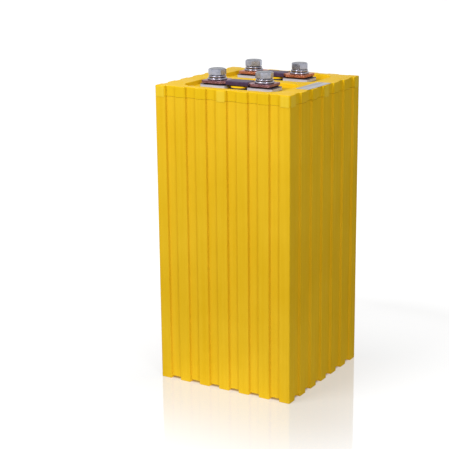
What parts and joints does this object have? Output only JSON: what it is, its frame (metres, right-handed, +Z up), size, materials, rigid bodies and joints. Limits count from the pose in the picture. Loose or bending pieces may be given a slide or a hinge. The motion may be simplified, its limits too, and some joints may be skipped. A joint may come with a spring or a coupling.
{
  "type": "prismatic battery cell",
  "caption": "Tall ribbed prismatic rechargeable cell with a recessed lid, bolted copper-linked poles and a relief valve, for solar and wind storage banks.",
  "frame": {"origin": "centre of the footprint, on the plane that the feet stand on", "axes": "+Z up the cell towards the poles, +X to the labelled side of the lid, -Y towards the front face with the positive row of poles"},
  "size_m": [0.21, 0.207, 0.4445],
  "materials": {
    "yellow_case": "smooth moulded thermoplastic, semi-gloss",
    "yellow_lid": "smooth moulded thermoplastic, semi-gloss",
    "black_rubber": "moulded rubber",
    "copper_link_front": "laminated copper foil, dulled",
    "copper_link_back": "laminated copper foil, bright",
    "shrink_sleeve": "heat-shrunk sleeve",
    "aluminium": "machined",
    "aluminium_foil": "stacked foil",
    "copper": "machined copper",
    "copper_foil": "stacked foil",
    "plated_contact": "plated contact block",
    "zinc_washer": "zinc plated",
    "zinc_bolt": "zinc plated",
    "spring_steel": "bright wire",
    "electrode": "stacked coated foil",
    "clear_film": "thin insulating film",
    "grey_plastic": "moulded plastic",
    "label_foil": "blank foil label"
  },
  "bodies": {
    "cell": {"case": "yellow_case", "lid": "yellow_lid", "lid_seal": "black_rubber", "positive_link": "copper_link_front", "positive_link_sleeve": "shrink_sleeve", "positive_collector_bar": "aluminium", "positive_contact_pad_left": "plated_contact", "positive_pole_left": "aluminium", "positive_pole_seal_left": "black_rubber", "flat_washer_front_left": "zinc_washer", "spring_washer_front_left": "zinc_washer", "bolt_front_left": "zinc_bolt", "positive_contact_pad_right": "plated_contact", "positive_pole_right": "aluminium", "positive_pole_seal_right": "black_rubber", "flat_washer_front_right": "zinc_washer", "spring_washer_front_right": "zinc_washer", "bolt_front_right": "zinc_bolt", "positive_tabs_1": "aluminium_foil", "positive_tabs_2": "aluminium_foil", "positive_tabs_3": "aluminium_foil", "positive_tabs_4": "aluminium_foil", "negative_link": "copper_link_back", "negative_link_sleeve": "shrink_sleeve", "negative_collector_bar": "copper", "negative_contact_pad_left": "plated_contact", "negative_pole_left": "copper", "negative_pole_seal_left": "black_rubber", "flat_washer_back_left": "zinc_washer", "spring_washer_back_left": "zinc_washer", "bolt_back_left": "zinc_bolt", "negative_contact_pad_right": "plated_contact", "negative_pole_right": "copper", "negative_pole_seal_right": "black_rubber", "flat_washer_back_right": "zinc_washer", "spring_washer_back_right": "zinc_washer", "bolt_back_right": "zinc_bolt", "negative_tabs_1": "copper_foil", "negative_tabs_2": "copper_foil", "negative_tabs_3": "copper_foil", "negative_tabs_4": "copper_foil", "electrode_stack_1": "electrode", "electrode_stack_2": "electrode", "electrode_stack_3": "electrode", "electrode_stack_4": "electrode", "insulating_wrap": "clear_film", "top_spacer": "grey_plastic", "base_pad": "grey_plastic", "valve_cap": "yellow_lid", "valve_spring": "spring_steel", "blank_label": "label_foil"},
    "valve": {"valve_poppet": "black_rubber"}
  },
  "joints": [
    {"name": "valve_lift", "type": "slide", "parent": "cell", "child": "valve", "axis": [0, 0, 1], "range_m": [0, 0.0015], "stiffness_N_per_m": 400, "springref_m": -0.004, "deforming": ["valve_spring"]}
  ]
}
